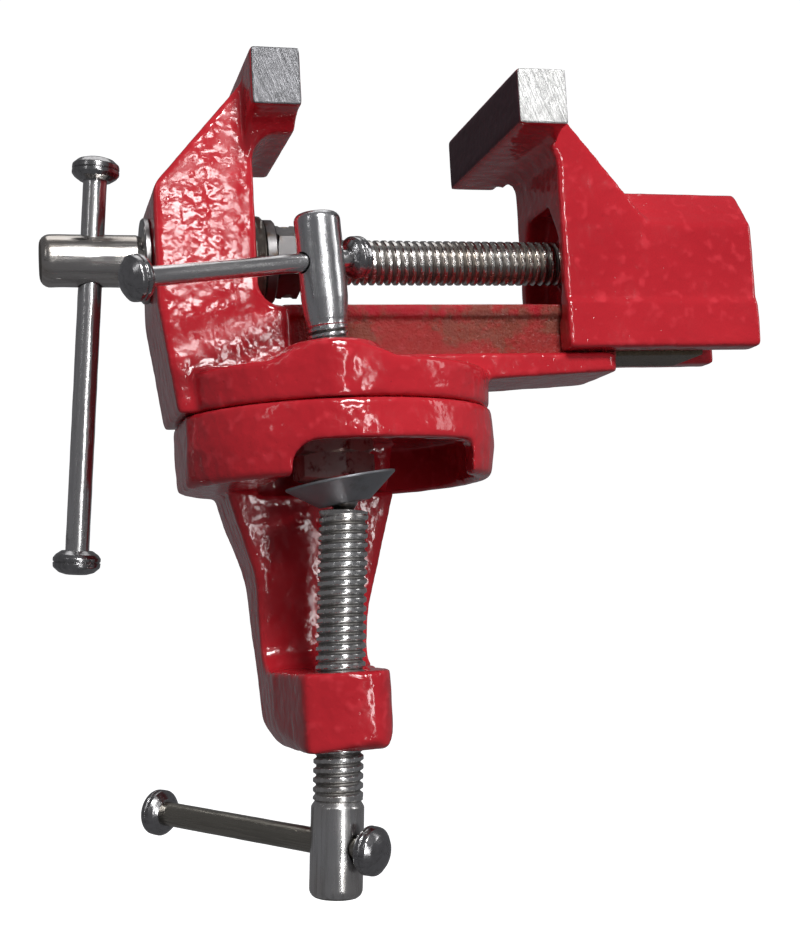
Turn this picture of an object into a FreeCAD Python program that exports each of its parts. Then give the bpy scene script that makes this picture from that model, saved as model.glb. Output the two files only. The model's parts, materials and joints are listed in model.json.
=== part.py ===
import FreeCAD, Part

import math
import os

# Clamp-on bench vise with a swivel base.  Millimetres.
# X runs along the main screw, from its handle to the moving jaw.
# Y runs along the width of the jaws.  Z is up.
# The origin is on the swivel axis, in the plane of the rim that sits on the table.

# ---- main screw and jaws ----
SCREW_HEIGHT = 60.0          # main screw axis above the table
SCREW_RADIUS = 6.0
SCREW_PITCH = 2.2
THREAD_DEPTH = 1.15
SCREW_END = 90.0
HEAD_RADIUS = 6.75
HEAD_LEFT = -73.5
HEAD_RIGHT = -47.95
RUNNING_FIT = 0.06           # radial clearance of a shaft in its bore
WASHER_RADIUS = 11.0
JAW_HALF_WIDTH = 30.85
JAW_BAR_DEPTH = 15.0         # height of the gripping faces
NECK_HALF_WIDTH = 17.5
FIXED_FACE = -9.95           # gripping faces, along X
MOVING_FACE = 46.5
FIXED_BAR_BACK = -22.6       # back of the jaw bars, away from the gripping faces
MOVING_BAR_BACK = 60.0
FIXED_TOP = 107.0
MOVING_TOP = 104.3

# ---- fixed jaw casting ----
BODY_LEFT = -46.0
BODY_RIGHT = -20.6
BODY_FOOT_RIGHT = -13.0
BODY_FOOT_TOP = 45.0
SCREW_BOSS_END = -16.9
UPPER_DISC_BOTTOM = 18.15
UPPER_DISC_TOP = 28.2
UPPER_DISC_RADIUS = 41.6

# ---- rail ----
RAIL_TOP = 46.5
RAIL_FLANGE = 3.4
RAIL_HALF_FLANGE = 12.0
RAIL_HALF_WEB = 10.0
RAIL_BOTTOM = 32.5
RAIL_END = 104.0
TONGUE_HALF_WIDTH = 14.0
TONGUE_END = 77.6
TONGUE_TOP = 33.0

# ---- moving jaw casting ----
HOUSING_LEFT = 61.5
HOUSING_END = 117.5
HOUSING_BOTTOM = 33.4
HOUSING_RIDGE = 78.2
HOUSING_SHOULDER = 67.0
RIDGE_HALF_WIDTH = 9.0
HOLLOW_HALF_WIDTH = 13.2
SLIDE_GAP = 0.3
NUT_LEFT = 71.0
NUT_RIGHT = 83.0
RIB = 3.0

# ---- swivel base and clamp frame ----
BASE_TOP = 18.0
BASE_RADIUS = 42.4
BASE_FLAT = -40.0            # flat side of the base, along X
CAVITY_RADIUS = 36.6
CAVITY_ROOF = 12.6
CLOSED_SIDE = -19.6          # the base is solid on this side of X
WINDOW_LEFT = -18.0
WINDOW_RIGHT = 29.0
WINDOW_TOP = 8.2
PIVOT_RADIUS = 6.0
ARM_FRONT = 4.0
BOSS_HALF_WIDTH = 12.3
FOOT_TOP = -46.5
FOOT_BOTTOM = -66.5

# ---- clamp screw ----
BALL_CENTRE = (-4.4, -29.0, -5.2)
CLAMP_LEAN = 4.2             # degrees, top towards +X, as the boss is tapped
CLAMP_RADIUS = 6.0
BALL_RADIUS = 3.5
PAD_RADIUS = 13.6
PAD_TILT = 8.3               # degrees, the +X side higher
CLAMP_HEAD_TOP = -71.8       # along the screw, from the ball's centre
CLAMP_HEAD_BOTTOM = -94.6
CLAMP_HOLE = -82.2

# ---- lock screw ----
LOCK_FOOT = (-5.6, -30.0, 18.5)
LOCK_LEAN_X = -3.7
LOCK_LEAN_Y = 4.0
LOCK_RADIUS = 5.0
LOCK_PITCH = 1.5
LOCK_BOSS_RADIUS = 12.0
LOCK_BOSS_TOP = 32.5
LOCK_HEAD_BOTTOM = 19.0      # along the screw, from its foot
LOCK_HEAD_TOP = 46.2
LOCK_HOLE = 34.3

X_AXIS = FreeCAD.Vector(1, 0, 0)
Y_AXIS = FreeCAD.Vector(0, 1, 0)
Z_AXIS = FreeCAD.Vector(0, 0, 1)


def on_xz(y):
    return lambda u, v: FreeCAD.Vector(u, y, v)


def on_yz(x):
    return lambda u, v: FreeCAD.Vector(x, u, v)


def on_xy(z):
    return lambda u, v: FreeCAD.Vector(u, v, z)


def outline(points, place):
    """Closed wire through the points. A third value rounds that corner with its radius."""
    count = len(points)
    corners = []
    for index, point in enumerate(points):
        here = FreeCAD.Vector(point[0], point[1], 0)
        radius = point[2] if len(point) > 2 else 0.0
        if radius == 0.0:
            corners.append((here, None, here))
            continue
        before = FreeCAD.Vector(*points[index - 1][:2], 0) - here
        after = FreeCAD.Vector(*points[(index + 1) % count][:2], 0) - here
        half_angle = before.getAngle(after) / 2
        before.normalize()
        after.normalize()
        reach = radius / math.tan(half_angle)
        inward = before + after
        inward.normalize()
        centre = here + inward * (radius / math.sin(half_angle))
        corners.append((here + before * reach, centre - inward * radius, here + after * reach))
    edges = []
    for index, (start, middle, end) in enumerate(corners):
        if middle is not None:
            arc = [place(p.x, p.y) for p in (start, middle, end)]
            edges.append(Part.Arc(*arc).toShape())
        following = corners[(index + 1) % count][0]
        if (following - end).Length > 1e-6:
            edges.append(Part.makeLine(place(end.x, end.y), place(following.x, following.y)))
    return Part.Wire(edges)


def prism_y(points, low, high):
    return Part.Face(outline(points, on_xz(low))).extrude(Y_AXIS * (high - low))


def prism_x(points, low, high):
    return Part.Face(outline(points, on_yz(low))).extrude(X_AXIS * (high - low))


def prism_z(points, low, high):
    return Part.Face(outline(points, on_xy(low))).extrude(Z_AXIS * (high - low))


def block(x_range, y_range, z_range):
    corner = FreeCAD.Vector(x_range[0], y_range[0], z_range[0])
    size = [r[1] - r[0] for r in (x_range, y_range, z_range)]
    return Part.makeBox(*size, corner)


def rod(radius, start, end):
    start = FreeCAD.Vector(*start)
    along = FreeCAD.Vector(*end) - start
    return Part.makeCylinder(radius, along.Length, start, along)


def turned(profile):
    """Solid of revolution about Z from (radius, height) points."""
    return Part.Face(outline(profile, on_xz(0))).revolve(FreeCAD.Vector(), Z_AXIS, 360)


def stand(shape, base, direction):
    """Moves a shape built upright at the origin to a base point and direction."""
    turn = FreeCAD.Rotation(Z_AXIS, FreeCAD.Vector(*direction))
    moved = shape.copy()
    moved.Placement = FreeCAD.Placement(FreeCAD.Vector(*base), turn)
    return moved


def mirrored(points):
    """A half outline in (y, z) with its mirror image, so that it closes."""
    return points + [(-p[0],) + tuple(p[1:]) for p in reversed(points)]


def fused(first, *others):
    return first.multiFuse(list(others)).removeSplitter()


def cut(body, *tools):
    for tool in tools:
        body = body.cut(tool)
    return body


def thread_profile(radius, pitch, depth, low, high):
    """Outline of a threaded length, from its low end to its high end, on the outer side."""
    turns = int((high - low) / pitch)
    margin = (high - low - turns * pitch) / 2
    root = radius - depth
    points = [(root, low)]
    for turn in range(turns):
        base = low + margin + turn * pitch
        points += [
            (root, base + 0.12 * pitch),
            (radius, base + 0.44 * pitch),
            (radius, base + 0.56 * pitch),
            (root, base + 0.88 * pitch),
        ]
    points.append((root, high))
    return points


def hexagon(across_flats, low, high, chamfer=0.8, turn=0.0):
    """Hexagonal prism about Z with its corners turned down at both ends."""
    corner = across_flats / math.sqrt(3)
    points = []
    for side in range(6):
        angle = math.radians(60 * side + turn)
        points.append((corner * math.cos(angle), corner * math.sin(angle)))
    prism = prism_z(points, low, high)
    reach = corner + 0.01
    turned_down = turned([
        (0, low),
        (reach - 2 * chamfer, low),
        (reach, low + chamfer),
        (reach, high - chamfer),
        (reach - 2 * chamfer, high),
        (0, high),
    ])
    return prism.common(turned_down)


def lean_direction(lean_x, lean_y):
    """Upward direction that leans by the given degrees towards +X and towards -Y."""
    x = math.tan(math.radians(lean_x))
    y = -math.tan(math.radians(lean_y))
    direction = FreeCAD.Vector(x, y, 1)
    return direction.normalize()


def along(base, direction, distance):
    return FreeCAD.Vector(*base) + FreeCAD.Vector(*direction) * distance


def bar_direction(heading, rise):
    """Direction of a tommy bar: heading in degrees from +X about Z, rise above level."""
    level = math.cos(math.radians(rise))
    return FreeCAD.Vector(
        level * math.cos(math.radians(heading)),
        level * math.sin(math.radians(heading)),
        math.sin(math.radians(rise)),
    )


CLAMP_UP = lean_direction(CLAMP_LEAN, 0)
LOCK_UP = lean_direction(LOCK_LEAN_X, LOCK_LEAN_Y)

# Each tommy bar: the point where it crosses its screw, its direction, its radius, and
# how far its two knobs' inner faces are from that point.
MAIN_BAR = {
    "centre": FreeCAD.Vector(-60.5, 0, SCREW_HEIGHT),
    "direction": FreeCAD.Vector(0.078, -0.087, 0.993).normalize(),
    "radius": 3.0,
    "knob": 6.05,
    "ahead": 20.5,
    "behind": 74.0,
}
LOCK_BAR = {
    "centre": along(LOCK_FOOT, LOCK_UP, LOCK_HOLE),
    "direction": bar_direction(203.0, -10.0),
    "radius": 2.3,
    "knob": 5.4,
    "ahead": 48.5,
    "behind": 8.2,
}
CLAMP_BAR = {
    "centre": along(BALL_CENTRE, CLAMP_UP, CLAMP_HOLE),
    "direction": bar_direction(131.5, 6.0),
    "radius": 3.0,
    "knob": 5.8,
    "ahead": 53.5,
    "behind": 7.4,
}


def jaw_section(top):
    """Across the jaw: full width at the gripping face, drawn in to the neck below it."""
    return mirrored([
        (-JAW_HALF_WIDTH, top, 0.8),
        (-JAW_HALF_WIDTH, top - JAW_BAR_DEPTH, 0.8),
        (-NECK_HALF_WIDTH, top - JAW_BAR_DEPTH, 10.0),
        (-NECK_HALF_WIDTH, UPPER_DISC_BOTTOM),
    ])


def jaw_and_neck(side, top, bar_range):
    """The side view cut to the neck's width, and to the jaw's wider section along its bar."""
    bar = side.common(prism_x(jaw_section(top), bar_range[0], bar_range[1]))
    neck_section = mirrored([
        (-NECK_HALF_WIDTH, top, 2.5),
        (-NECK_HALF_WIDTH, UPPER_DISC_BOTTOM),
    ])
    neck = side.common(prism_x(neck_section, -60, 90))
    return bar.fuse(neck)


def fixed_jaw_body():
    side = prism_y([
        (-42.0, UPPER_DISC_BOTTOM),
        (BODY_LEFT, 46.0, 20.0),
        (BODY_LEFT, 75.5, 7.0),
        (FIXED_BAR_BACK, 102.5, 3.0),
        (FIXED_BAR_BACK, FIXED_TOP, 0.8),
        (FIXED_FACE, FIXED_TOP, 0.5),
        (FIXED_FACE, 88.5, 1.0),
        (BODY_RIGHT, 88.5, 6.0),
        (BODY_RIGHT, BODY_FOOT_TOP, 6.0),
        (BODY_FOOT_RIGHT, BODY_FOOT_TOP, 1.5),
        (BODY_FOOT_RIGHT, UPPER_DISC_BOTTOM),
    ], -40, 40)
    neck = jaw_and_neck(side, FIXED_TOP, (FIXED_BAR_BACK, 0))
    disc = turned([
        (0, UPPER_DISC_BOTTOM),
        (UPPER_DISC_RADIUS - 0.8, UPPER_DISC_BOTTOM),
        (UPPER_DISC_RADIUS, UPPER_DISC_BOTTOM + 0.8),
        (UPPER_DISC_RADIUS + 0.5, UPPER_DISC_TOP, 1.5),
        (0, UPPER_DISC_TOP),
    ])
    boss = turned([
        (0, UPPER_DISC_BOTTOM),
        (LOCK_BOSS_RADIUS, UPPER_DISC_BOTTOM),
        (LOCK_BOSS_RADIUS, LOCK_BOSS_TOP, 2.0),
        (0, LOCK_BOSS_TOP),
    ])
    boss.translate(FreeCAD.Vector(LOCK_FOOT[0], LOCK_FOOT[1], 0))
    boss_skirt = Part.makeCone(17.0, LOCK_BOSS_RADIUS - 1.0, 3.6)
    boss_skirt.translate(FreeCAD.Vector(LOCK_FOOT[0], LOCK_FOOT[1], UPPER_DISC_TOP - 0.2))
    disc_column = Part.makeCylinder(UPPER_DISC_RADIUS + 0.3, 20, FreeCAD.Vector(0, 0, 20))
    boss_skirt = boss_skirt.common(disc_column)
    flange_bottom = RAIL_TOP - RAIL_FLANGE
    rail_section = mirrored([
        (-RAIL_HALF_FLANGE, RAIL_TOP, 0.5),
        (-RAIL_HALF_FLANGE, flange_bottom, 0.5),
        (-RAIL_HALF_WEB, flange_bottom, 0.5),
        (-RAIL_HALF_WEB, RAIL_BOTTOM, 0.5),
    ])
    rail = prism_x(rail_section, BODY_FOOT_RIGHT - 1, RAIL_END)
    rail_foot = block((BODY_FOOT_RIGHT - 1, 38), (-RAIL_HALF_WEB, RAIL_HALF_WEB), (25, 34))
    tongue_plan = [
        (0, -TONGUE_HALF_WIDTH),
        (TONGUE_END, -TONGUE_HALF_WIDTH, 5.0),
        (TONGUE_END, TONGUE_HALF_WIDTH, 5.0),
        (0, TONGUE_HALF_WIDTH),
    ]
    tongue_side = [
        (0, 26.0),
        (40, 26.0),
        (TONGUE_END, 27.8, 1.5),
        (TONGUE_END, TONGUE_TOP, 1.0),
        (0, TONGUE_TOP),
    ]
    tongue = prism_z(tongue_plan, 25, 34).common(prism_y(tongue_side, -20, 20))
    screw_boss = rod(12.0, (BODY_RIGHT - 1, 0, SCREW_HEIGHT), (SCREW_BOSS_END, 0, SCREW_HEIGHT))
    body = fused(neck, disc, boss, boss_skirt, rail, rail_foot, tongue, screw_boss)
    screw_bore = rod(
        SCREW_RADIUS + RUNNING_FIT,
        (BODY_LEFT - 5, 0, SCREW_HEIGHT),
        (SCREW_BOSS_END + 5, 0, SCREW_HEIGHT),
    )
    pivot_hole = Part.makeCylinder(PIVOT_RADIUS, 14, FreeCAD.Vector(0, 0, UPPER_DISC_BOTTOM - 1))
    lock_bore = rod(
        LOCK_RADIUS + RUNNING_FIT,
        along(LOCK_FOOT, LOCK_UP, -4),
        along(LOCK_FOOT, LOCK_UP, 20),
    )
    return cut(body, screw_bore, pivot_hole, lock_bore)


def moving_jaw():
    bar_bottom = MOVING_TOP - JAW_BAR_DEPTH
    side = prism_y([
        (MOVING_FACE, MOVING_TOP, 0.5),
        (MOVING_BAR_BACK, MOVING_TOP, 0.8),
        (MOVING_BAR_BACK, 101.4, 3.0),
        (86.0, 69.0),
        (86.0, 50.0),
        (HOUSING_LEFT, 50.0),
        (HOUSING_LEFT, bar_bottom, 6.0),
        (MOVING_FACE, bar_bottom, 1.0),
    ], -40, 40)
    neck = jaw_and_neck(side, MOVING_TOP, (40, MOVING_BAR_BACK))
    housing_section = mirrored([
        (-NECK_HALF_WIDTH - 0.8, HOUSING_BOTTOM, 1.0),
        (-NECK_HALF_WIDTH - 0.8, 45.5),
        (-NECK_HALF_WIDTH, 47.0),
        (-NECK_HALF_WIDTH, HOUSING_SHOULDER, 2.5),
        (-RIDGE_HALF_WIDTH, HOUSING_RIDGE, 2.5),
    ])
    housing = prism_x(housing_section, HOUSING_LEFT, HOUSING_END)
    outside = fused(neck, housing)
    lip_top = RAIL_TOP - RAIL_FLANGE - SLIDE_GAP
    hollow_section = mirrored([
        (-RAIL_HALF_WEB - 0.4, HOUSING_BOTTOM - 5),
        (-RAIL_HALF_WEB - 0.4, lip_top),
        (-RAIL_HALF_FLANGE - 0.4, lip_top),
        (-RAIL_HALF_FLANGE - 0.4, RAIL_TOP + 1.5),
        (-HOLLOW_HALF_WIDTH, RAIL_TOP + 3.0),
        (-HOLLOW_HALF_WIDTH, 64.5, 2.0),
        (-7.5, 74.0, 2.0),
    ])
    hollow = prism_x(hollow_section, HOUSING_LEFT - 5, HOUSING_END + 5)
    rib_section = mirrored([
        (-HOLLOW_HALF_WIDTH - 1, RAIL_TOP + 0.15),
        (-HOLLOW_HALF_WIDTH - 1, 76.0),
    ])
    ribs = []
    for left in (NUT_LEFT - RIB, NUT_RIGHT):
        rib = prism_x(rib_section, left, left + RIB).common(hollow)
        bore = rod(7.0, (left - 1, 0, SCREW_HEIGHT), (left + RIB + 1, 0, SCREW_HEIGHT))
        ribs.append(rib.cut(bore))
    return fused(outside.cut(hollow), *ribs)


def lead_nut():
    """Square nut that drops into the pocket between the ribs and stays there over the rail."""
    half = 11.0
    section = mirrored([
        (-half, RAIL_TOP + 0.2, 1.0),
        (-half, SCREW_HEIGHT + half - 1.0, 3.0),
    ])
    nut = prism_x(section, NUT_LEFT, NUT_RIGHT)
    bore = rod(
        SCREW_RADIUS + RUNNING_FIT,
        (NUT_LEFT - 1, 0, SCREW_HEIGHT),
        (NUT_RIGHT + 1, 0, SCREW_HEIGHT),
    )
    return nut.cut(bore)


def main_screw():
    """T-head, plain journal in the casting, then thread up to the end. Built along Z."""
    head = HEAD_RADIUS
    journal_end = -13.0
    profile = [
        (0, HEAD_LEFT),
        (head, HEAD_LEFT, 2.6),
        (head, HEAD_RIGHT - 1.5),
        (head - 0.5, HEAD_RIGHT),
        (SCREW_RADIUS, HEAD_RIGHT),
        (SCREW_RADIUS, journal_end),
    ]
    profile += thread_profile(SCREW_RADIUS, SCREW_PITCH, THREAD_DEPTH, journal_end, SCREW_END)
    profile.append((0, SCREW_END))
    screw = stand(turned(profile), (0, 0, SCREW_HEIGHT), X_AXIS)
    pin_hole = rod(1.5, (-10.3, 0, SCREW_HEIGHT - 12), (-10.3, 0, SCREW_HEIGHT + 12))
    return cut(screw, bar_hole(MAIN_BAR), pin_hole)


def bar_hole(bar):
    reach = bar["direction"] * 12
    return rod(bar["radius"] + RUNNING_FIT, bar["centre"] - reach, bar["centre"] + reach)


def washer(left, right):
    disc = rod(WASHER_RADIUS, (left, 0, SCREW_HEIGHT), (right, 0, SCREW_HEIGHT))
    bore = rod(SCREW_RADIUS + 0.1, (left - 1, 0, SCREW_HEIGHT), (right + 1, 0, SCREW_HEIGHT))
    rims = [e for e in disc.Edges if e.Curve.TypeId == "Part::GeomCircle"]
    return disc.makeChamfer(0.4, rims).cut(bore)


def collar_nut():
    nut = hexagon(17.0, 0, 6.8).cut(Part.makeCylinder(SCREW_RADIUS, 8))
    nut = stand(nut, (-13.7, 0, SCREW_HEIGHT), X_AXIS)
    pin_hole = rod(1.5, (-10.3, 0, SCREW_HEIGHT - 12), (-10.3, 0, SCREW_HEIGHT + 12))
    return nut.cut(pin_hole)


def collar_pin():
    return rod(1.5, (-10.3, 0, SCREW_HEIGHT - 9.2), (-10.3, 0, SCREW_HEIGHT + 9.2))


def tommy_bar(bar):
    """Plain rod whose ends go a little way into the knobs."""
    spigot = 2.5
    start = bar["centre"] - bar["direction"] * (bar["behind"] + spigot)
    end = bar["centre"] + bar["direction"] * (bar["ahead"] + spigot)
    return rod(bar["radius"], start, end)


def knob(bar, side):
    """Turned knob: a narrow collar against the bar, a groove, then a flat dome."""
    wide = bar["knob"]
    shape = turned([
        (0, 0),
        (wide - 1.6, 0, 0.3),
        (wide - 1.0, 1.1, 0.3),
        (wide - 1.6, 1.7),
        (wide, 2.3, 0.6),
        (wide, 4.0, 1.2),
        (wide - 2.2, 6.0, 2.0),
        (0, 6.2),
    ])
    shape = shape.cut(Part.makeCylinder(bar["radius"], 2.5))
    distance = bar["ahead"] if side > 0 else bar["behind"]
    base = bar["centre"] + bar["direction"] * (side * distance)
    return stand(shape, base, bar["direction"] * side)


def pivot_stud():
    """Screwed into the upper casting; the swivel turns on its plain middle."""
    bottom = 0.2
    profile = [(0, bottom)]
    profile += thread_profile(PIVOT_RADIUS, 1.75, 1.0, bottom, CAVITY_ROOF)
    profile += [(PIVOT_RADIUS, CAVITY_ROOF), (PIVOT_RADIUS, 31.0), (0, 31.0)]
    return turned(profile)


def pivot_nut(low, high):
    nut = hexagon(19.0, low, high, turn=34.5)
    return nut.cut(Part.makeCylinder(PIVOT_RADIUS, high - low + 2, FreeCAD.Vector(0, 0, low - 1)))


def clamp_frame():
    rim = 0.0
    base = turned([
        (0, CAVITY_ROOF),
        (CAVITY_RADIUS, CAVITY_ROOF, 1.5),
        (CAVITY_RADIUS, rim, 0.6),
        (BASE_RADIUS - 1.2, rim, 2.0),
        (BASE_RADIUS + 0.1, 9.0, 20.0),
        (BASE_RADIUS - 0.3, BASE_TOP, 1.0),
        (0, BASE_TOP),
    ])
    beyond_flat = block((-60, BASE_FLAT), (-60, 60), (-5, 25))
    window = prism_y([
        (WINDOW_LEFT, -5),
        (WINDOW_RIGHT, -5),
        (WINDOW_RIGHT, WINDOW_TOP, 2.0),
        (WINDOW_LEFT, WINDOW_TOP, 6.0),
    ], -60, -12)
    base = cut(base, beyond_flat, window)
    front_view = prism_y([
        (-29.0, CAVITY_ROOF),
        (-28.0, 1.0),
        (-21.2, -22.0, 30.0),
        (-20.4, -60.0, 6.0),
        (-17.0, FOOT_BOTTOM, 4.0),
        (0.5, FOOT_BOTTOM, 6.0),
        (6.0, -58.0, 8.0),
        (8.6, -32.0, 30.0),
        (18.0, 1.0),
        (20.0, CAVITY_ROOF),
    ], -60, 60)
    side_view = prism_x([
        (ARM_FRONT, -1.0),
        (ARM_FRONT, FOOT_TOP, 7.0),
        (-41.0, FOOT_TOP, 3.0),
        (-41.0, FOOT_BOTTOM + 1.5, 6.0),
        (8.0, FOOT_BOTTOM, 10.0),
        (15.0, -46.0, 20.0),
        (33.5, -2.0),
        (33.5, CAVITY_ROOF + 1),
        (13.0, CAVITY_ROOF + 1),
        (13.0, -1.0, 2.0),
    ], -60, 60)
    boss_x = -8.2
    plan = prism_z([
        (-40, 40),
        (-40, 5),
        (boss_x - BOSS_HALF_WIDTH, -8, 10.0),
        (boss_x - BOSS_HALF_WIDTH + 3, -41, 9.0),
        (boss_x + BOSS_HALF_WIDTH, -41, 10.0),
        (boss_x + BOSS_HALF_WIDTH, -8, 10.0),
        (30, 5),
        (30, 40),
    ], -80, 20)
    arm = front_view.common(side_view).common(plan)
    inside_base = Part.makeCylinder(BASE_RADIUS - 2.5, 200, FreeCAD.Vector(0, 0, -100))
    closed_side = block((-60, CLOSED_SIDE), (-60, 60), (0, CAVITY_ROOF + 1))
    filling = closed_side.common(Part.makeCylinder(CAVITY_RADIUS + 1.5, 30))
    filling = filling.cut(beyond_flat)
    frame = fused(base, filling, arm.common(inside_base))
    pivot_bore = Part.makeCylinder(PIVOT_RADIUS + RUNNING_FIT, 40, FreeCAD.Vector(0, 0, -10))
    boss_bore = rod(
        CLAMP_RADIUS + RUNNING_FIT,
        along(BALL_CENTRE, CLAMP_UP, -75),
        along(BALL_CENTRE, CLAMP_UP, -30),
    )
    return cut(frame, pivot_bore, boss_bore)


def clamp_screw():
    """T-head at the bottom, thread, then a taper with a seat for the ball."""
    head = 6.4
    thread_top = -3.1
    profile = [
        (0, CLAMP_HEAD_BOTTOM),
        (head, CLAMP_HEAD_BOTTOM, 2.4),
        (head, CLAMP_HEAD_TOP - 1.2),
        (CLAMP_RADIUS - 0.4, CLAMP_HEAD_TOP),
    ]
    profile += thread_profile(
        CLAMP_RADIUS, SCREW_PITCH, THREAD_DEPTH, CLAMP_HEAD_TOP, thread_top)
    profile += [(4.5, -2.7), (0, -2.7)]
    seat = Part.makeSphere(BALL_RADIUS + 0.1)
    screw = stand(turned(profile).cut(seat), BALL_CENTRE, CLAMP_UP)
    return screw.cut(bar_hole(CLAMP_BAR))


def pad_ball():
    return Part.makeSphere(BALL_RADIUS, FreeCAD.Vector(*BALL_CENTRE))


def cup_pad():
    """Shallow cone with a turned rim; its socket sits over the ball."""
    pad = turned([
        (0, -1.3),
        (6.4, -1.3, 0.4),
        (PAD_RADIUS, 4.2),
        (PAD_RADIUS, 4.8, 0.2),
        (0, 4.8),
    ])
    socket = Part.makeSphere(BALL_RADIUS + 0.1)
    mouth = Part.makeCone(4.6, 3.0, 1.4, FreeCAD.Vector(0, 0, -1.5))
    pad = cut(pad, socket, mouth)
    tilt = math.radians(PAD_TILT)
    return stand(pad, BALL_CENTRE, (-math.sin(tilt), 0, math.cos(tilt)))


def lock_screw():
    head = 5.8
    profile = [(0, 2.7), (LOCK_RADIUS - 1.0, 2.7)]
    profile += thread_profile(LOCK_RADIUS, LOCK_PITCH, 0.85, 2.8, LOCK_HEAD_BOTTOM)
    profile += [
        (head - 0.7, LOCK_HEAD_BOTTOM),
        (head, LOCK_HEAD_BOTTOM + 4.0),
        (head, LOCK_HEAD_TOP, 2.2),
        (0, LOCK_HEAD_TOP),
    ]
    return stand(turned(profile), LOCK_FOOT, LOCK_UP).cut(bar_hole(LOCK_BAR))


def lock_shoe():
    """Loose disc under the lock screw that presses on the swivel base."""
    return stand(Part.makeCylinder(LOCK_RADIUS - 0.3, 2.6), LOCK_FOOT, LOCK_UP)


def save(name, shape):
    solids = shape.Solids
    if len(solids) != 1 or not solids[0].isValid():
        print("check", name, len(solids), "solids, valid:", shape.isValid())
    solids[0].exportStep("parts/" + name + ".step")


def main():
    os.makedirs("parts", exist_ok=True)
    save("clamp_frame", clamp_frame())
    save("fixed_jaw_body", fixed_jaw_body())
    save("moving_jaw", moving_jaw())
    save("lead_nut", lead_nut())
    save("main_screw", main_screw())
    save("outer_washer", washer(BODY_LEFT - 1.8, BODY_LEFT))
    save("inner_washer", washer(SCREW_BOSS_END, -13.85))
    save("collar_nut", collar_nut())
    save("collar_pin", collar_pin())
    save("pivot_stud", pivot_stud())
    save("pivot_nut", pivot_nut(8.6, CAVITY_ROOF - 0.15))
    save("pivot_locknut", pivot_nut(1.9, 8.6))
    save("lock_screw", lock_screw())
    save("lock_shoe", lock_shoe())
    save("clamp_screw", clamp_screw())
    save("pad_ball", pad_ball())
    save("cup_pad", cup_pad())
    bars = {"main_bar": MAIN_BAR, "lock_bar": LOCK_BAR, "clamp_bar": CLAMP_BAR}
    for name, bar in bars.items():
        save(name, tommy_bar(bar))
        save(name + "_knob_a", knob(bar, 1))
        save(name + "_knob_b", knob(bar, -1))


main()
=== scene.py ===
"""Looks for the bench vise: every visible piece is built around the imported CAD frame.

Lengths are metres. X runs along the main screw, Y across the jaws, Z up.
"""

import json
import math

import bmesh
import bpy
from mathutils import Matrix, Vector, noise


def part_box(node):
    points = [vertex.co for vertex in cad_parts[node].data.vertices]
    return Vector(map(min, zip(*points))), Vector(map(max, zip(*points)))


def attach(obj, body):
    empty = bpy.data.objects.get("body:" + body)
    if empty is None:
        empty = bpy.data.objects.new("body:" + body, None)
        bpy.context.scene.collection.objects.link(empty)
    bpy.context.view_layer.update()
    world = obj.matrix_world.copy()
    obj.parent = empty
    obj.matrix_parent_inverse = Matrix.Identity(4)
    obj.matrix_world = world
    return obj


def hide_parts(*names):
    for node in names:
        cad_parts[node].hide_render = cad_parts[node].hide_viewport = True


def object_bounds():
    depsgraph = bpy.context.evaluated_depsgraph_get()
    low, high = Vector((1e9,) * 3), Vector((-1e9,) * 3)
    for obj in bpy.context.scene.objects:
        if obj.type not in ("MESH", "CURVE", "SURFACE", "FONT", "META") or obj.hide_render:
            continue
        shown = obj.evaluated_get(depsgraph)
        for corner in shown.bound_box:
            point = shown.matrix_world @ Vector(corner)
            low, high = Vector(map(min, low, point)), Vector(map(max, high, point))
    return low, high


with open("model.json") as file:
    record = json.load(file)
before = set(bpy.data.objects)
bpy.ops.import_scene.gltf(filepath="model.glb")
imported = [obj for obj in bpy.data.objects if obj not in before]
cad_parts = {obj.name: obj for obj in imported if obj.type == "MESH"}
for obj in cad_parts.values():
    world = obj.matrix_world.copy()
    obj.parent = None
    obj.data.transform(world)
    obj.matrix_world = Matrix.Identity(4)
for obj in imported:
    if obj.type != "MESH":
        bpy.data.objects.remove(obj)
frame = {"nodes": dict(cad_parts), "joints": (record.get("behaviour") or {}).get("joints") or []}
cad_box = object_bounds()
scene = bpy.context.scene
MM = 0.001

# ---- driving sizes, in metres ----
THREAD_DEPTH = 0.75 * MM
SCREW_PITCH = 2.2 * MM
LOCK_PITCH = 1.5 * MM
SCREW_RADIUS = 6.0 * MM
LOCK_RADIUS = 5.0 * MM
JAW_END = 30.85 * MM          # half width of the jaw bars
JAW_BAR_HEIGHT = 15 * MM
FIXED_FACE = -9.95 * MM       # gripping faces, along X
MOVING_FACE = 46.5 * MM
VOXEL = 0.65 * MM             # cell of the remeshed castings
SHARP_ANGLE = 38              # degrees; flatter edges are shaded smooth
BAR_RADIUS = {"main_bar": 3.0 * MM, "lock_bar": 2.3 * MM, "clamp_bar": 3.0 * MM}
KNOB_RADIUS = {"main_bar": 6.0 * MM, "lock_bar": 5.35 * MM, "clamp_bar": 5.75 * MM}
KNOB_LENGTH = 6.2 * MM
CUP_TILT = 8.3                # degrees, as the cup leans on its ball
CLAMP_DROP = 38 * MM          # the clamp screw's way down, which the floor leaves free

# ---- studio, in metres ----
PAPER_GLOW = 0.93
FLOOR_RADIUS = 1.8
COVE_RADIUS = 0.9             # where the floor curves up into the wall
WALL_TOP = 4.5
JOINTS = {joint["name"]: joint for joint in frame["joints"]}


def axis_of(joint):
    return Vector(JOINTS[joint]["axis"]).normalized()


def middle(node):
    low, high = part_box(node)
    return (low + high) / 2


# ---------------------------------------------------------------- meshes

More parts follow.
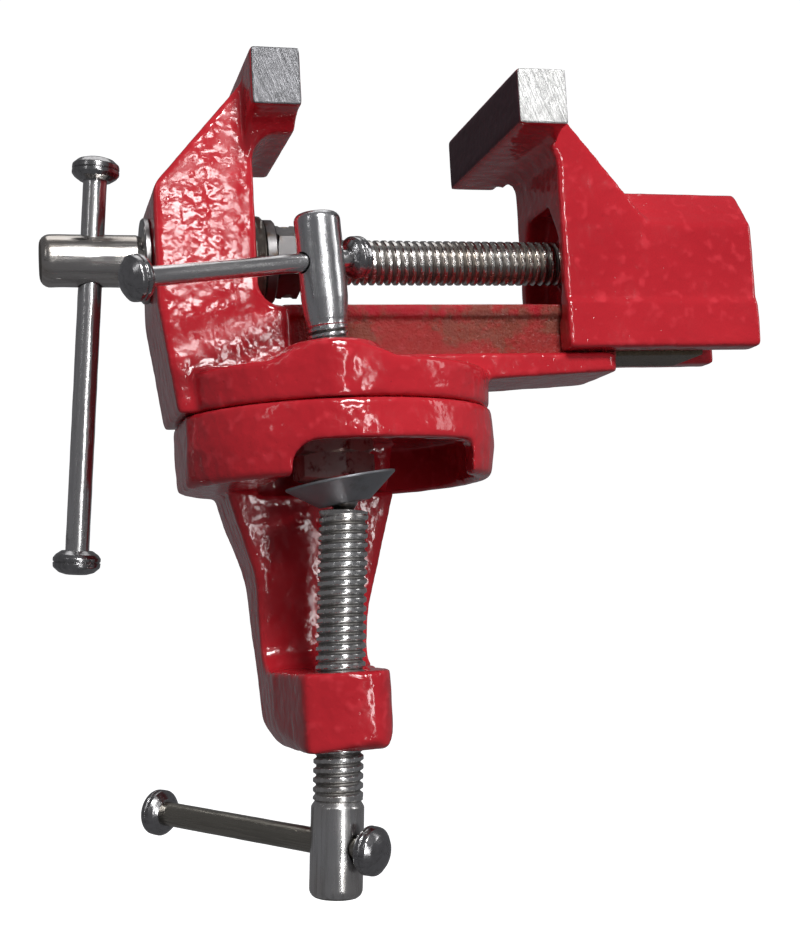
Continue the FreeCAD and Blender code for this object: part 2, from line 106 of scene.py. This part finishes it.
def fillet_profile(points, steps=6):
    """(radius, height, corner radius) points, with the corners turned into arcs."""
    result = []
    for index, point in enumerate(points):
        here = Vector(point[:2])
        corner = point[2] if len(point) > 2 else 0.0
        if corner == 0.0 or index in (0, len(points) - 1):
            result.append(here)
            continue
        before = Vector(points[index - 1][:2]) - here
        after = Vector(points[index + 1][:2]) - here
        half = before.angle(after) / 2
        reach = min(corner / math.tan(half), before.length * 0.49, after.length * 0.49)
        radius = reach * math.tan(half)
        inward = (before.normalized() + after.normalized()).normalized()
        centre = here + inward * (radius / math.sin(half))
        start = here + before.normalized() * reach - centre
        end = here + after.normalized() * reach - centre
        for step in range(steps + 1):
            blend = start.lerp(end, step / steps).normalized() * radius
            result.append(centre + blend)
    return result


def crest(phase):
    """Height of a worn thread, 0 at the root and 1 at the crest, over one turn."""
    wave = 0.5 + 0.5 * math.cos(2 * math.pi * phase)
    return min(1.0, wave * 1.5)


def turned(name, rows, segments=96, wobble=0.0, seed=0):
    """A turned piece about its own Z from rows of (radius, height, thread depth, pitch)."""
    mesh = bpy.data.meshes.new(name)
    vertices = []
    faces = []
    for row_index, row in enumerate(rows):
        radius, height = row[0], row[1]
        depth, pitch = (row[2], row[3]) if len(row) > 2 else (0.0, 1.0)
        for step in range(segments):
            angle = 2 * math.pi * step / segments
            r = radius
            if depth:
                phase = height / pitch - angle / (2 * math.pi)
                r -= depth * (1 - crest(phase))
            direction = Vector((math.cos(angle), math.sin(angle), 0))
            if wobble and r > 0:
                spot = (direction * r + Vector((seed, 0, height))) * 260
                r += wobble * noise.noise(spot)
            vertices.append((direction.x * r, direction.y * r, height))
        if row_index:
            for step in range(segments):
                following = (step + 1) % segments
                low = (row_index - 1) * segments
                high = row_index * segments
                faces.append((low + step, low + following, high + following, high + step))
    bottom = len(vertices)
    vertices.append((0, 0, rows[0][1]))
    vertices.append((0, 0, rows[-1][1]))
    last = (len(rows) - 1) * segments
    for step in range(segments):
        following = (step + 1) % segments
        faces.append((bottom, following, step))
        faces.append((bottom + 1, last + step, last + following))
    mesh.from_pydata(vertices, [], faces)
    return finish_mesh(name, mesh)


def shade_smooth(mesh):
    """Smooth shading, apart from real corners."""
    for polygon in mesh.polygons:
        polygon.use_smooth = True
    mesh.set_sharp_from_angle(angle=math.radians(SHARP_ANGLE))


def finish_mesh(name, mesh):
    """A clean closed mesh as a new object in the scene."""
    work = bmesh.new()
    work.from_mesh(mesh)
    bmesh.ops.remove_doubles(work, verts=work.verts, dist=1e-7)
    bmesh.ops.recalc_face_normals(work, faces=work.faces)
    work.to_mesh(mesh)
    work.free()
    shade_smooth(mesh)
    piece = bpy.data.objects.new(name, mesh)
    scene.collection.objects.link(piece)
    return piece


def thread_rows(radius, low, high, depth, pitch, per_turn=14):
    """Rows of a threaded length, with the thread running out at both ends."""
    count = max(2, int(abs(high - low) / pitch * per_turn))
    rows = []
    for step in range(count + 1):
        height = low + (high - low) * step / count
        edge = min(abs(height - low), abs(high - height)) / (0.8 * pitch)
        rows.append((radius, height, depth * min(1.0, edge), pitch))
    return rows


def stretch(rows, spacing=0.7 * MM):
    """Adds rows along the long plain runs of a profile, so that wobble has points to move."""
    result = [tuple(rows[0])]
    for row in rows[1:]:
        start, end = Vector(result[-1][:2]), Vector(row[:2])
        count = min(120, int((end - start).length / spacing))
        for step in range(1, count):
            result.append(tuple(start.lerp(end, step / count)))
        result.append(tuple(row))
    return result


def stand(piece, base, direction):
    """Puts a piece built about its own Z at a base point and direction."""
    turn = Vector((0, 0, 1)).rotation_difference(Vector(direction))
    piece.matrix_world = Matrix.Translation(Vector(base)) @ turn.to_matrix().to_4x4()
    bpy.context.view_layer.update()
    return piece


def bake_modifiers(piece):
    graph = bpy.context.evaluated_depsgraph_get()
    mesh = bpy.data.meshes.new_from_object(piece.evaluated_get(graph))
    piece.modifiers.clear()
    piece.data = mesh
    return piece


def drill(piece, centre, direction, radius, length=0.03):
    """Cuts a round hole right through a piece."""
    half = length / 2
    tool = turned("drill", [(0, -half), (radius, -half), (radius, half), (0, half)], 64)
    stand(tool, centre, direction)
    cutter = piece.modifiers.new("hole", "BOOLEAN")
    cutter.operation = "DIFFERENCE"
    cutter.solver = "EXACT"
    cutter.object = tool
    bake_modifiers(piece)
    bpy.data.objects.remove(tool)
    shade_smooth(piece.data)
    return piece


def dress(piece, material, body, slot, *nodes):
    """Material, body and the CAD nodes that the piece stands for; slot is not used."""
    piece.data.materials.clear()
    piece.data.materials.append(material)
    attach(piece, body)
    if nodes:
        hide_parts(*nodes)
    return piece


# ---------------------------------------------------------------- materials

class Shader:
    """Small helper for building a material's nodes."""

    def __init__(self, name, **values):
        self.material = bpy.data.materials.new(name)
        self.material.use_nodes = True
        self.tree = self.material.node_tree
        self.surface = self.tree.nodes["Principled BSDF"]
        for socket, value in values.items():
            self.surface.inputs[socket.replace("_", " ")].default_value = value
        self.place = self.add("ShaderNodeTexCoord").outputs["Object"]

    def add(self, kind, **settings):
        node = self.tree.nodes.new(kind)
        for key, value in settings.items():
            setattr(node, key, value)
        return node

    def feed(self, socket, value):
        if isinstance(value, bpy.types.NodeSocket):
            self.tree.links.new(value, socket)
        else:
            socket.default_value = value

    def math(self, operation, first, second=0.0, clamp=False):
        node = self.add("ShaderNodeMath", operation=operation, use_clamp=clamp)
        self.feed(node.inputs[0], first)
        self.feed(node.inputs[1], second)
        return node.outputs[0]

    def axes(self):
        node = self.add("ShaderNodeSeparateXYZ")
        self.feed(node.inputs[0], self.place)
        return node.outputs

    def step(self, value, low, high):
        """0 below low, 1 above high, smooth between; low above high turns it round."""
        node = self.add("ShaderNodeMapRange", interpolation_type="SMOOTHSTEP")
        self.feed(node.inputs["Value"], value)
        node.inputs["From Min"].default_value = low
        node.inputs["From Max"].default_value = high
        return node.outputs["Result"]

    def scaled(self, x, y, z):
        node = self.add("ShaderNodeMapping")
        self.feed(node.inputs["Vector"], self.place)
        node.inputs["Scale"].default_value = (x, y, z)
        return node.outputs["Vector"]

    def noise(self, scale, detail=3.0, rough=0.55, vector=None, distortion=0.0):
        node = self.add("ShaderNodeTexNoise")
        self.feed(node.inputs["Vector"], vector or self.place)
        node.inputs["Scale"].default_value = scale
        node.inputs["Detail"].default_value = detail
        node.inputs["Roughness"].default_value = rough
        node.inputs["Distortion"].default_value = distortion
        return node.outputs["Fac"]

    def cells(self, scale, vector=None):
        node = self.add("ShaderNodeTexVoronoi")
        self.feed(node.inputs["Vector"], vector or self.place)
        node.inputs["Scale"].default_value = scale
        return node.outputs["Distance"]

    def mix(self, factor, first, second):
        node = self.add("ShaderNodeMix", data_type="RGBA")
        self.feed(node.inputs[0], factor)
        self.feed(node.inputs[6], first)
        self.feed(node.inputs[7], second)
        return node.outputs[2]

    def blend(self, factor, first, second):
        node = self.add("ShaderNodeMix", data_type="FLOAT")
        self.feed(node.inputs[0], factor)
        self.feed(node.inputs[2], first)
        self.feed(node.inputs[3], second)
        return node.outputs[0]

    def bump(self, height, distance, strength=1.0, normal=None):
        node = self.add("ShaderNodeBump")
        node.inputs["Strength"].default_value = strength
        node.inputs["Distance"].default_value = distance
        self.feed(node.inputs["Height"], height)
        if normal is not None:
            self.feed(node.inputs["Normal"], normal)
        return node.outputs["Normal"]

    def out(self, **sockets):
        for name, value in sockets.items():
            self.feed(self.surface.inputs[name.replace("_", " ")], value)
        return self.material


RED = (0.46, 0.017, 0.026, 1)
RED_DEEP = (0.38, 0.012, 0.020, 1)
RED_BRIGHT = (0.52, 0.028, 0.040, 1)
MAROON = (0.035, 0.004, 0.010, 1)
IRON = (0.10, 0.075, 0.045, 1)
FILED = (0.62, 0.62, 0.61, 1)


def enamel(name, bare_from=None, grip=None, rail=False, filed_gray=FILED):
    """Thick gloss enamel on rough cast iron, with bare filed ends, worn places and painted shade
    on the gripping face.

    bare_from is the height above which the jaw bar's ends are bare; grip is the
    gripping face's place along X, with the side that it looks to; that face gets
    painted shade, dark maroon with streaks.
    """
    sh = Shader(name, IOR=1.50)
    x, y, z = sh.axes()
    clouds = sh.noise(22, 2)
    grit = sh.noise(900, 4, 0.6)
    pits = sh.cells(420)
    lumps = sh.noise(300, 1.5, 0.45)
    colour = sh.mix(sh.step(clouds, 0.30, 0.70), RED_DEEP, RED)
    colour = sh.mix(sh.step(lumps, 0.55, 0.80), colour, RED_BRIGHT)
    specks = sh.step(sh.noise(1300, 2), 0.76, 0.80)
    colour = sh.mix(sh.math("MULTIPLY", specks, 0.8), colour, MAROON)
    rough = sh.blend(sh.step(sh.noise(130, 3), 0.40, 0.70), 0.11, 0.20)
    metal = 0.0
    normal = sh.bump(lumps, 0.42 * MM, 0.8)
    normal = sh.bump(sh.step(pits, 0.0, 0.22), 0.10 * MM, 0.45, normal)
    normal = sh.bump(grit, 0.03 * MM, 0.3, normal)
    # painted shade: the jaw bar's gripping face is coloured dark maroon with streaks, as a face
    # lying in shade
    if grip:
        face, side = grip
        low, high = (face + 0.1 * MM, face + 0.5 * MM)
        if side > 0:
            low, high = (face - 0.1 * MM, face - 0.5 * MM)
        near = sh.step(x, high, low)
        tall = sh.step(z, bare_from - 1.2 * MM, bare_from)
        wear_and_shade = sh.math("MULTIPLY", near, tall)
        streaks = sh.noise(1.0, 4, 0.6, sh.scaled(500, 90, 900))
        dark = sh.mix(streaks, MAROON, (0.075, 0.030, 0.045, 1))
        colour = sh.mix(wear_and_shade, colour, dark)
        rough = sh.blend(wear_and_shade, rough, 0.7)
    if rail:
        along = sh.step(x, -12 * MM, -7 * MM)
        above = sh.step(z, 32.2 * MM, 33.4 * MM)
        inside = sh.step(sh.math("ABSOLUTE", y), 13.4 * MM, 12.6 * MM)
        far = sh.step(x, 77.4 * MM, 77.9 * MM)
        upper = sh.math("MAXIMUM", above, far)
        zone = sh.math("MULTIPLY", sh.math("MULTIPLY", along, upper), inside)
        zone = sh.math("MAXIMUM", zone, far)
        # rubbed through to rusty iron in patches, most of all under the flange
        patches = sh.step(sh.noise(85, 5, 0.65), 0.44, 0.60)
        web = sh.step(z, 43.2 * MM, 42.4 * MM)
        wear_and_shade = sh.math("MAXIMUM", sh.math("MULTIPLY", patches, 0.6),
                       sh.math("MULTIPLY", web, 0.25))
        wear_and_shade = sh.math("MULTIPLY", sh.math("MAXIMUM", wear_and_shade, far), zone)
        rust = sh.mix(sh.noise(500, 4, 0.7), (0.030, 0.020, 0.012, 1), (0.19, 0.145, 0.08, 1))
        colour = sh.mix(wear_and_shade, colour, rust)
        rough = sh.blend(wear_and_shade, rough, 0.38)
        sparkle = sh.math("MULTIPLY", sh.noise(800, 5, 0.7), zone)
        normal = sh.bump(sparkle, 1.3 * MM, 1.0, normal)
        # the faced boss round the main screw is bare
        height = sh.math("SUBTRACT", z, JOINTS["screw_turn"]["pos_m"][2])
        square = sh.math("ADD", sh.math("MULTIPLY", y, y), sh.math("MULTIPLY", height, height))
        bushing = sh.math("MULTIPLY", sh.step(sh.math("SQRT", square), 12.8 * MM, 12.3 * MM),
                          sh.step(x, -20.9 * MM, -20.5 * MM))
        colour = sh.mix(bushing, colour, sh.mix(clouds, IRON, (0.16, 0.15, 0.15, 1)))
        metal = sh.math("MULTIPLY", bushing, 0.8)
    if bare_from:
        end = sh.step(sh.math("ABSOLUTE", y), JAW_END - 0.42 * MM, JAW_END - 0.30 * MM)
        tall = sh.step(z, bare_from - 0.3 * MM, bare_from - 0.1 * MM)
        bare = sh.math("MULTIPLY", end, tall)
        strokes = sh.noise(1.0, 5, 0.65, filing_strokes(sh), 0.6)
        fine = sh.step(strokes, 0.36, 0.62)
        steel = sh.mix(fine, tuple(0.62 * c for c in filed_gray[:3]) + (1,), filed_gray)
        colour = sh.mix(bare, colour, steel)
        rough = sh.blend(bare, rough, 0.42)
        metal = sh.math("MAXIMUM", metal, sh.math("MULTIPLY", bare, 0.75))
        scratch = sh.math("MULTIPLY", strokes, bare)
        normal = sh.bump(scratch, 0.30 * MM, 0.8, normal)
    return sh.out(Base_Color=colour, Roughness=rough, Metallic=metal, Normal=normal)


def filing_strokes(sh):
    """Coordinates stretched along a steep diagonal in XZ, as a file leaves it."""
    node = sh.add("ShaderNodeMapping", vector_type="TEXTURE")
    sh.feed(node.inputs["Vector"], sh.place)
    node.inputs["Rotation"].default_value = (0, math.radians(-20), 0)
    node.inputs["Scale"].default_value = (0.00036, 0.02, 0.012)
    return node.outputs["Vector"]


def nickel(name, tone, rough, streak=0.5, brown=0.0, groove=None):
    """Bright plate over roughly drawn or turned steel; streaks run along the piece's Z.

    groove is the (root, crest) radius pair of a thread, whose roots are painted darker as shade.
    """
    sh = Shader(name, Metallic=1.0)
    long_streaks = sh.noise(1.0, 5, 0.62, sh.scaled(900, 900, 60))
    rings = sh.noise(1.0, 4, 0.6, sh.scaled(160, 160, 1500))
    stains = sh.noise(190, 4, 0.6)
    dark = tuple(0.68 * c for c in tone) + (1,)
    colour = sh.mix(sh.step(long_streaks, 0.30, 0.62), dark, tone + (1,))
    colour = sh.mix(sh.step(stains, 0.66, 0.84), colour, (0.20, 0.19, 0.18, 1))
    if brown:
        tint = sh.step(sh.noise(60, 3), 0.42, 0.62)
        colour = sh.mix(sh.math("MULTIPLY", tint, brown), colour, (0.30, 0.20, 0.11, 1))
    shine = sh.blend(sh.step(long_streaks, 0.35, 0.70), rough[1], rough[0])
    # painted shade: the thread roots are coloured near black, as recesses in shade
    if groove:
        x, y = sh.axes()[:2]
        square = sh.math("ADD", sh.math("MULTIPLY", x, x), sh.math("MULTIPLY", y, y))
        root_shade = sh.step(sh.math("SQRT", square), groove[1], groove[0])
        colour = sh.mix(sh.math("MULTIPLY", root_shade, 0.75), colour, (0.05, 0.04, 0.03, 1))
        shine = sh.blend(root_shade, shine, 0.55)
    normal = sh.bump(long_streaks, 0.10 * MM, streak)
    normal = sh.bump(rings, 0.05 * MM, streak, normal)
    normal = sh.bump(sh.noise(420, 3), 0.12 * MM, streak, normal)
    return sh.out(Base_Color=colour, Roughness=shine, Normal=normal)


def plain_metal(name, tone, rough, grain, metallic=1.0, stain=(0.10, 0.07, 0.05, 1)):
    """Dull metal with a fine grain and dark or rusty stains."""
    sh = Shader(name, Metallic=metallic)
    field = sh.noise(300, 4, 0.6)
    colour = sh.mix(sh.step(field, 0.5, 0.72), tone + (1,), stain)
    shine = sh.blend(sh.noise(700, 3), rough * 0.75, min(1.0, rough * 1.3))
    normal = sh.bump(sh.noise(2200, 3, 0.6), grain * MM, 0.6)
    normal = sh.bump(sh.noise(260, 3), 0.14 * MM, 0.4, normal)
    return sh.out(Base_Color=colour, Roughness=shine, Normal=normal)


# ---------------------------------------------------------------- castings

def casting(node, body, slot, material, lump_at, flat_ends=None):
    """The CAD solid with its edges softened and its skin made lumpy, as sand leaves it.

    lump_at(point) is how much of the roughness a place gets, 0 to 1 or more.
    """
    mesh = frame["nodes"][node].data.copy()
    mesh.name = node + "_skin"
    mesh.materials.clear()
    work = bmesh.new()
    work.from_mesh(mesh)
    bmesh.ops.remove_doubles(work, verts=work.verts, dist=1e-6)
    work.to_mesh(mesh)
    work.free()
    piece = bpy.data.objects.new(node + "_skin", mesh)
    scene.collection.objects.link(piece)
    cells = piece.modifiers.new("cells", "REMESH")
    cells.mode = "VOXEL"
    cells.voxel_size = VOXEL
    soften = piece.modifiers.new("soften", "SMOOTH")
    soften.factor = 0.5
    soften.iterations = 11
    bake_modifiers(piece)
    mesh = piece.data
    moved = []
    for vertex in mesh.vertices:
        point, normal = vertex.co, vertex.normal
        amount = lump_at(point)
        broad = noise.noise(point * 110)
        bead = noise.noise(point * 320 + Vector((7, 3, 1)))
        depth = (0.12 * broad + 0.09 * bead) * MM * amount
        place = point + normal * (depth - 0.05 * MM * amount)
        if flat_ends and abs(place.y) > JAW_END - 0.6 * MM and place.z > flat_ends:
            place.y = math.copysign(JAW_END - 0.05 * MM, place.y)
        moved.append(place)
    for vertex, place in zip(mesh.vertices, moved):
        vertex.co = place
    for polygon in mesh.polygons:
        polygon.use_smooth = True
    return dress(piece, material, body, slot, node)


def fixed_lumps(point):
    x, y, z = point / MM
    if x > -12 and z > 31 and abs(y) < 13:
        return 0.25
    if z > 82:
        return 0.3
    if abs(y) < 9 and z < 26:
        return 0.0
    hammered = 1.0 if abs(y) > 16 and 44 < z < 82 else 0.6
    return 1.1 if math.hypot(x + 6, y + 34) < 16 else hammered


def moving_lumps(point):
    x, y, z = point / MM
    if abs(y) < 14 and z < 76 and x > 61:
        return 0.0
    return 0.3 if z > 88 else 0.85


def frame_lumps(point):
    x, y, z = point / MM
    if z > 17.2:
        return 0.0
    return 0.9


def build_castings():
    fixed_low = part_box("fixed_jaw_body")[1].z - JAW_BAR_HEIGHT
    moving_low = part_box("moving_jaw")[1].z - JAW_BAR_HEIGHT
    casting("fixed_jaw_body", "swivel_body", "fixed_jaw_enamel",
            enamel("red enamel, fixed jaw", fixed_low, (FIXED_FACE, 1), True,
                   (0.22, 0.22, 0.23, 1)), fixed_lumps, fixed_low)
    casting("moving_jaw", "sliding_jaw", "moving_jaw_enamel",
            enamel("red enamel, moving jaw", moving_low, (MOVING_FACE, -1)),
            moving_lumps, moving_low)
    casting("clamp_frame", "clamp_base", "frame_enamel",
            enamel("red enamel, clamp frame"), frame_lumps)


# ---------------------------------------------------------------- turned pieces

def knob_piece(bar, side, body, material):
    """Turned knob with a collar, a groove and a flat dome, at one end of a tommy bar."""
    node = bar + "_knob_" + side
    direction = axis_of(bar + "_slide")
    centre = middle(node)
    outward = direction if (centre - middle(bar)).dot(direction) > 0 else -direction
    wide = KNOB_RADIUS[bar]
    base = centre - outward * (KNOB_LENGTH / 2)
    rows = fillet_profile([
        (BAR_RADIUS[bar] * 0.98, 0.02 * MM),
        (BAR_RADIUS[bar] + 0.9 * MM, 0.02 * MM, 0.3 * MM),
        (wide - 0.7 * MM, 1.0 * MM, 0.6 * MM),
        (wide, 1.9 * MM, 0.5 * MM),
        (wide, 2.75 * MM, 0.2 * MM),
        (wide - 0.4 * MM, 2.95 * MM, 0.15 * MM),
        (wide, 3.15 * MM, 0.2 * MM),
        (wide - 0.1 * MM, 4.3 * MM, 0.8 * MM),
        (wide - 1.6 * MM, 5.6 * MM, 1.4 * MM),
        (wide * 0.45, KNOB_LENGTH - 0.08 * MM, 2.0 * MM),
        (0.02 * MM, KNOB_LENGTH),
    ])
    rows = [(row[0], row[1]) for row in rows]
    piece = turned(node + "_turned", stretch(rows, 0.5 * MM), 72, 0.03 * MM, len(node))
    stand(piece, base, outward)
    return dress(piece, material, body, "knob_nickel", node)


def bar_piece(bar, body, slot, material):
    """Drawn rod of a tommy bar, as long as its CAD node."""
    direction = axis_of(bar + "_slide")
    low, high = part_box(bar)
    widest = max(range(3), key=lambda axis: high[axis] - low[axis])
    radius = BAR_RADIUS[bar]
    spare = 2 * radius * math.sqrt(max(0.0, 1 - direction[widest] ** 2))
    length = (high[widest] - low[widest] - spare) / abs(direction[widest])
    half = length / 2
    rows = stretch([(radius, -half), (radius, half)], 1.2 * MM)
    piece = turned(bar + "_rod", rows, 64, 0.05 * MM, 3)
    stand(piece, middle(bar), direction)
    return dress(piece, material, body, slot, bar)


def t_head_screw(name, rows, base, direction, hole_centre, hole_direction, hole_radius,
                 material, body, slot):
    """A screw with a cross hole through its head for the tommy bar."""
    piece = turned(name + "_cut", rows, 96, 0.07 * MM, 11)
    stand(piece, base, direction)
    drill(piece, hole_centre, hole_direction, hole_radius)
    return dress(piece, material, body, slot, name)


def plain(rows, spacing=0.6 * MM):
    """Rows of an unthreaded length, from its outline's corners."""
    return stretch([(row[0], row[1]) for row in fillet_profile(rows)], spacing)


def build_screws(materials):
    height = Vector(JOINTS["screw_turn"]["pos_m"]).z
    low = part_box("main_screw")[0]
    head = plain([
        (0.02 * MM, low.x + 0.05 * MM),
        (6.7 * MM, low.x + 0.05 * MM, 2.6 * MM),
        (6.7 * MM, -49.2 * MM, 1.0 * MM),
        (6.1 * MM, -47.9 * MM, 0.4 * MM),
        (5.98 * MM, -46.0 * MM),
        (5.98 * MM, -13.2 * MM),
    ])
    rows = head + thread_rows(SCREW_RADIUS, -13.0 * MM, 89.4 * MM, THREAD_DEPTH, SCREW_PITCH)
    rows += [(4.9 * MM, 89.95 * MM)]
    t_head_screw("main_screw", rows, (0, 0, height), (1, 0, 0), (-60.5 * MM, 0, height),
                 axis_of("main_bar_slide"), 3.35 * MM, materials["screw"], "jaw_screw",
                 "screw_nickel")
    foot = Vector(JOINTS["lock_turn"]["pos_m"])
    up = axis_of("lock_turn")
    rows = plain([(0.02 * MM, 2.75 * MM), (3.9 * MM, 2.75 * MM), (4.1 * MM, 2.9 * MM)])
    rows += thread_rows(LOCK_RADIUS, 3.0 * MM, 18.6 * MM, 0.8 * MM, LOCK_PITCH)
    rows += plain([
        (4.9 * MM, 18.9 * MM),
        (5.2 * MM, 20.0 * MM, 1.0 * MM),
        (5.75 * MM, 25.0 * MM, 5.0 * MM),
        (5.7 * MM, 46.1 * MM, 2.2 * MM),
        (0.02 * MM, 46.15 * MM),
    ])
    t_head_screw("lock_screw", rows, foot, up, foot + up * (34.3 * MM),
                 axis_of("lock_bar_slide"), 2.65 * MM, materials["head"], "swivel_lock",
                 "screw_nickel")
    ball = Vector(JOINTS["clamp_turn"]["pos_m"])
    up = axis_of("clamp_turn")
    rows = plain([
        (0.02 * MM, -94.5 * MM),
        (6.35 * MM, -94.5 * MM, 2.2 * MM),
        (6.35 * MM, -73.2 * MM, 1.0 * MM),
        (5.5 * MM, -71.9 * MM),
    ])
    rows += thread_rows(SCREW_RADIUS, -71.6 * MM, -3.2 * MM, THREAD_DEPTH, SCREW_PITCH)
    rows += plain([(4.6 * MM, -2.95 * MM), (3.7 * MM, -2.8 * MM)])
    t_head_screw("clamp_screw", rows, ball, up, ball - up * (82.2 * MM),
                 axis_of("clamp_bar_slide"), 3.35 * MM, materials["clamp"], "table_screw",
                 "screw_nickel")


def build_cup(material):
    """Pressed cup: a shallow cone with a thin turned rim."""
    ball = Vector(JOINTS["pad_tilt"]["pos_m"])
    tilt = math.radians(CUP_TILT)
    rows = plain([
        (4.3 * MM, -1.25 * MM),
        (6.3 * MM, -1.25 * MM, 0.5 * MM),
        (13.5 * MM, 4.15 * MM, 0.2 * MM),
        (13.55 * MM, 4.7 * MM, 0.2 * MM),
        (12.9 * MM, 4.75 * MM, 0.2 * MM),
        (5.0 * MM, 3.7 * MM),
    ], 0.5 * MM)
    piece = turned("cup_pad_pressed", rows, 128, 0.05 * MM, 5)
    stand(piece, ball, (-math.sin(tilt), 0, math.cos(tilt)))
    return dress(piece, material, "table_pad", "pad_zinc", "cup_pad")


def build_all():
    materials = {
        "screw": nickel("nickel, main screw", (0.56, 0.54, 0.52), (0.13, 0.28), 0.16, 0.25,
                        (5.2 * MM, 5.8 * MM)),
        "head": nickel("nickel, lock screw", (0.64, 0.64, 0.65), (0.16, 0.32), 0.3, 0.0,
                       (4.2 * MM, 4.85 * MM)),
        "clamp": nickel("nickel, clamp screw", (0.66, 0.655, 0.65), (0.16, 0.32), 0.16, 0.15,
                        (5.2 * MM, 5.8 * MM)),
        "bar": nickel("nickel, bars", (0.66, 0.65, 0.65), (0.14, 0.30), 0.4),
        "dark_bar": nickel("dark plate, clamp bar", (0.33, 0.31, 0.27), (0.18, 0.36)),
        "knob": nickel("nickel, knobs", (0.36, 0.355, 0.36), (0.14, 0.28), 0.2),
        "washer": plain_metal("zinc plated steel", (0.30, 0.29, 0.29), 0.32, 0.02),
        "dark_steel": plain_metal("blackened steel", (0.13, 0.125, 0.125), 0.42, 0.03),
        "pivot": plain_metal("bare steel with overspray", (0.66, 0.58, 0.56), 0.34, 0.06,
                             1.0, (0.22, 0.012, 0.016, 1)),
        "iron": plain_metal("bored cast iron", (0.20, 0.17, 0.14), 0.5, 0.08),
        "zinc": plain_metal("matt grey cup", (0.24, 0.245, 0.26), 0.42, 0.03, 0.85,
                            (0.20, 0.20, 0.205, 1)),
    }
    build_castings()
    build_screws(materials)
    bar_piece("main_bar", "jaw_bar", "bar_nickel", materials["bar"])
    bar_piece("lock_bar", "swivel_lock_bar", "bar_nickel", materials["bar"])
    bar_piece("clamp_bar", "table_bar", "bar_gunmetal", materials["dark_bar"])
    riders = {"main_bar": "jaw_bar", "lock_bar": "swivel_lock_bar", "clamp_bar": "table_bar"}
    for bar, body in riders.items():
        for side in "ab":
            knob_piece(bar, side, body, materials["knob"])
    build_cup(materials["zinc"])
    kept = {
        "outer_washer": "washer", "inner_washer": "dark_steel", "collar_nut": "dark_steel",
        "collar_pin": "iron", "pivot_stud": "pivot", "pivot_nut": "pivot",
        "pivot_locknut": "pivot", "lock_shoe": "washer", "lead_nut": "iron",
        "pad_ball": "washer",
    }
    for node, key in kept.items():
        slots = frame["nodes"][node].material_slots
        slots[0].material = materials[key]


# ---------------------------------------------------------------- stage, lights, camera

def build_stage():
    """Pale studio floor that curves up into a round wall.

    Only the camera sees it, so that the bright paper doesn't wash out the gloss.
    """
    low = cad_box[0][2] - CLAMP_DROP
    profile = [(FLOOR_RADIUS * third / 3, low) for third in range(4)]
    for step in range(1, 13):
        angle = math.radians(90 * step / 12)
        out = COVE_RADIUS * math.sin(angle)
        profile.append((FLOOR_RADIUS + out, low + COVE_RADIUS * (1 - math.cos(angle))))
    profile.append((FLOOR_RADIUS + COVE_RADIUS, WALL_TOP))
    mesh = bpy.data.meshes.new("studio_bowl")
    around = 96
    vertices = []
    faces = []
    for index, (radius, height) in enumerate(profile):
        for step in range(around):
            angle = 2 * math.pi * step / around
            vertices.append((radius * math.cos(angle), radius * math.sin(angle), height))
            if index:
                following = (step + 1) % around
                inner = (index - 1) * around
                outer = index * around
                faces.append((inner + step, outer + step, outer + following, inner + following))
    mesh.from_pydata(vertices, [], faces)
    bowl = finish_mesh("studio_bowl", mesh)
    bowl.visible_diffuse = False
    bowl.visible_glossy = False
    bowl.visible_shadow = False
    sh = Shader("white paper", Roughness=0.95)
    sh.surface.inputs["Emission Color"].default_value = (1, 1, 1, 1)
    sh.surface.inputs["Emission Strength"].default_value = PAPER_GLOW
    bowl.data.materials.append(sh.out(Base_Color=sh.mix(sh.noise(3.0), (0.50, 0.50, 0.50, 1),
                                                        (0.53, 0.53, 0.53, 1))))


def area_light(name, place, target, size, energy, colour=(1, 1, 1)):
    data = bpy.data.lights.new(name, "AREA")
    data.shape = "RECTANGLE"
    data.size, data.size_y = size
    data.energy = energy
    data.color = colour
    lamp = bpy.data.objects.new(name, data)
    lamp.location = place
    aim = Vector(target) - Vector(place)
    lamp.rotation_euler = aim.to_track_quat("-Z", "Y").to_euler()
    scene.collection.objects.link(lamp)


def build_lights():
    centre = (0.02, 0, 0.02)
    area_light("key", (0.08, -0.70, 0.56), centre, (0.24, 0.16), 6.4)
    area_light("sheen", (0.04, -0.75, 0.252), (-0.03, 0, 0.06), (0.16, 0.06), 0.85)
    area_light("strip", (0.15, -0.75, -0.035), (0, 0, -0.02), (0.05, 0.41), 1.1)
    area_light("top", (0.05, 0.30, 1.10), centre, (0.9, 0.7), 3.0)
    area_light("right", (0.95, -0.35, 0.35), centre, (0.20, 0.5), 1.2)
    area_light("left", (-0.75, -0.55, 0.45), centre, (0.06, 0.5), 0.35)
    world = bpy.data.worlds.new("studio")
    world.use_nodes = True
    world.node_tree.nodes["Background"].inputs["Color"].default_value = (0.95, 0.95, 1.0, 1)
    world.node_tree.nodes["Background"].inputs["Strength"].default_value = 0.16
    scene.world = world
    scene.view_settings.view_transform = "Standard"


def build_camera():
    """Camera at the viewing angle, left of the vise's middle and a little below the screw."""
    data = bpy.data.cameras.new("camera")
    data.lens = 56.98
    data.sensor_width = 36
    data.clip_start = 0.01
    camera = bpy.data.objects.new("camera", data)
    right = Vector((0.96482, -0.25706, -0.05510))
    up = Vector((0.03016, -0.09997, 0.99453))
    back = right.cross(up).normalized()
    turn = Matrix((right, up, back)).transposed().to_4x4()
    camera.matrix_world = Matrix.Translation((-0.08569, -0.38147, -0.03169)) @ turn
    scene.collection.objects.link(camera)
    scene.camera = camera


build_camera()
build_stage()
build_lights()
build_all()
